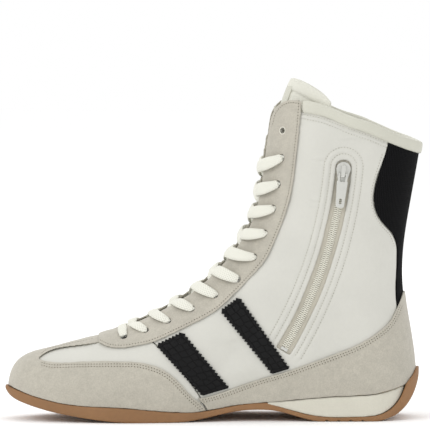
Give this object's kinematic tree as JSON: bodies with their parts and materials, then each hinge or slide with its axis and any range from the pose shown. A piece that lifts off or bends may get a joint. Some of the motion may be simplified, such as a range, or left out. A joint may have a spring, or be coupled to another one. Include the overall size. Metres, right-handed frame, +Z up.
{
  "type": "boxing boot",
  "caption": "High lace-up boxing boot with a curved side zip, padded tongue and collar, stretch heel panel and a low rubber sole.",
  "frame": {"origin": "centre of the boot's box, on the ground under the sole", "axes": "-X to the toe, +X to the heel, -Y to the medial side with the zip, +Z up"},
  "size_m": [0.2791, 0.0938, 0.2287],
  "materials": {
    "gum_rubber": "matt gum rubber",
    "eva_foam": "matt moulded foam",
    "fibre_board": "matt",
    "footbed_cloth": "matt cloth",
    "white_leather": "smooth leather, low sheen",
    "lining_cloth": "matt cloth",
    "suede": "napped suede, matt",
    "black_elastic": "ribbed knit",
    "collar_cloth": "matt",
    "tongue_knit": "knit",
    "foam": "matt foam",
    "label": "woven, blank",
    "black_leather": "embossed, low sheen",
    "zip_tape": "woven tape",
    "zip_coil": "moulded",
    "zip_metal": "painted, satin",
    "lace": "flat weave",
    "aglet": "clear cream plastic"
  },
  "bodies": {
    "boot": {"band_lateral_front": "black_leather", "band_lateral_rear": "black_leather", "band_medial_front": "black_leather", "band_medial_rear": "black_leather", "collar_pad": "collar_cloth", "eyestay": "suede", "footbed": "footbed_cloth", "heel_counter": "suede", "heel_gore": "black_elastic", "heel_stiffener": "fibre_board", "insole_board": "fibre_board", "lace": "lace", "lace_aglets": "aglet", "lining_lateral": "lining_cloth", "lining_medial": "lining_cloth", "midsole_wedge": "eva_foam", "outsole": "gum_rubber", "quarter_lateral": "white_leather", "quarter_medial": "white_leather", "toe_guard": "suede", "toe_puff": "fibre_board", "tongue_face": "tongue_knit", "tongue_label": "label", "tongue_lining": "lining_cloth", "tongue_padding": "foam", "vamp": "white_leather", "vamp_lining": "lining_cloth", "zip_coil_front": "zip_coil", "zip_coil_rear": "zip_coil", "zip_guard": "lining_cloth", "zip_stops": "zip_metal", "zip_tape_front": "zip_tape", "zip_tape_rear": "zip_tape"},
    "slider": {"zip_slider": "zip_metal"},
    "pull": {"zip_pull": "zip_metal"}
  },
  "joints": [
    {"name": "zip_slide", "type": "hinge", "parent": "boot", "child": "slider", "pos_m": [-0.195, -0.0362, 0.195], "axis": [0, 1, 0], "range_deg": [0, 21.5]},
    {"name": "pull_swing", "type": "hinge", "parent": "slider", "child": "pull", "pos_m": [0.0865, -0.0382, 0.16591], "axis": [-0.9947, 0, 0.1028], "range_deg": [0, 150]}
  ]
}
